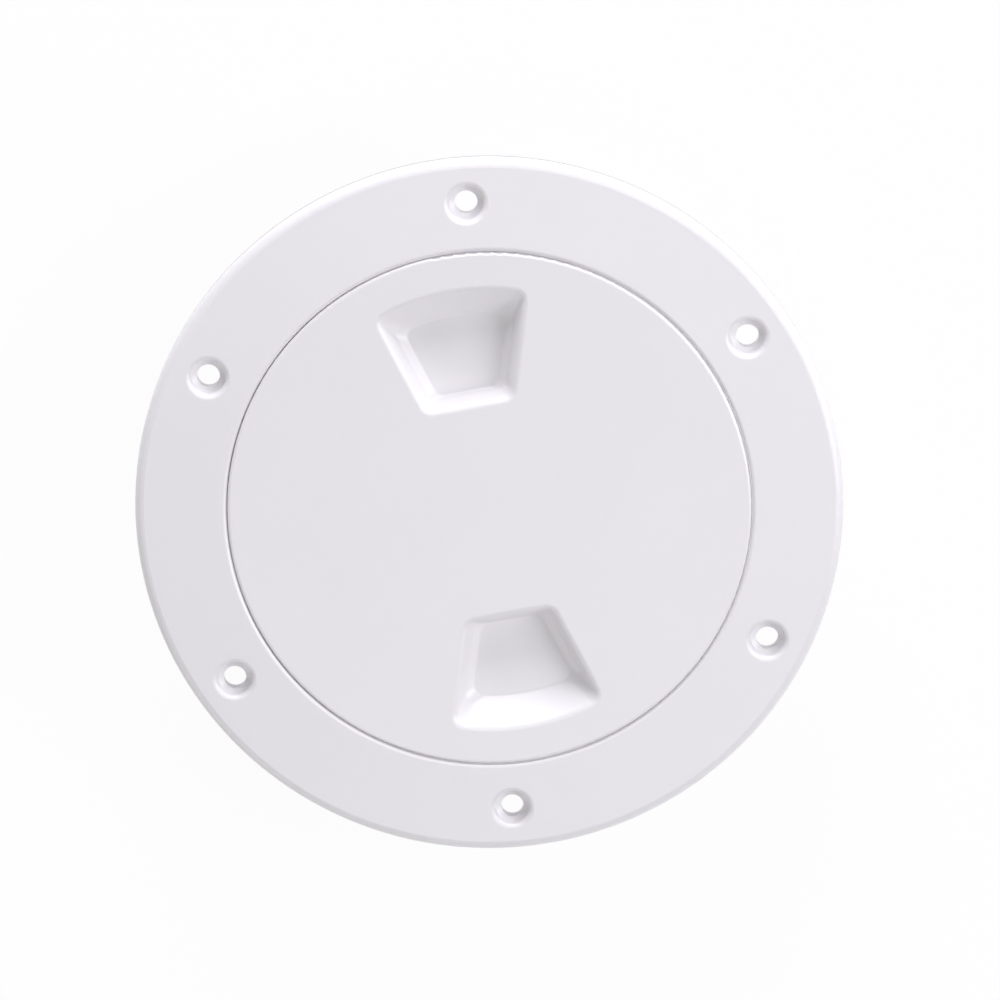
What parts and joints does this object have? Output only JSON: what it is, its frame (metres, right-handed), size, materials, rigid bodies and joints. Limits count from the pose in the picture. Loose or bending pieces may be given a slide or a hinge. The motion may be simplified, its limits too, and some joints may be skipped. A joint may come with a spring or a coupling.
{
  "type": "deck inspection plate",
  "caption": "Round flanged deck plate with a flush screw-in cover that has two finger recesses, sealed by a ring under the cover's lip, for access through a deck.",
  "frame": {"origin": "centre of the circle of screw holes, in the plane of the flange's underside, which is the deck", "axes": "+Z along the cover's axis, out of the deck; +Y from the centre through one screw hole"},
  "size_m": [0.145, 0.145, 0.0256],
  "materials": {
    "frame_plastic": "white, satin gloss",
    "cover_plastic": "white, satin gloss",
    "seal_rubber": "matt black"
  },
  "bodies": {
    "frame": {"flange_frame": "frame_plastic"},
    "seal": {"seal_ring": "seal_rubber"},
    "cover": {"screw_cover": "cover_plastic"}
  },
  "joints": [
    {"name": "cover_rise", "type": "slide", "parent": "frame", "child": "seal", "axis": [0, 0, 1], "range_m": [0, 0.008]},
    {"name": "cover_turn", "type": "hinge", "parent": "seal", "child": "cover", "pos_m": [0, 0, 0], "axis": [0, 0, 1], "range_deg": [0, 720]}
  ],
  "couplings": [
    {"joint": "cover_rise", "follows": "cover_turn", "m_per_rad": 0.00063662}
  ]
}
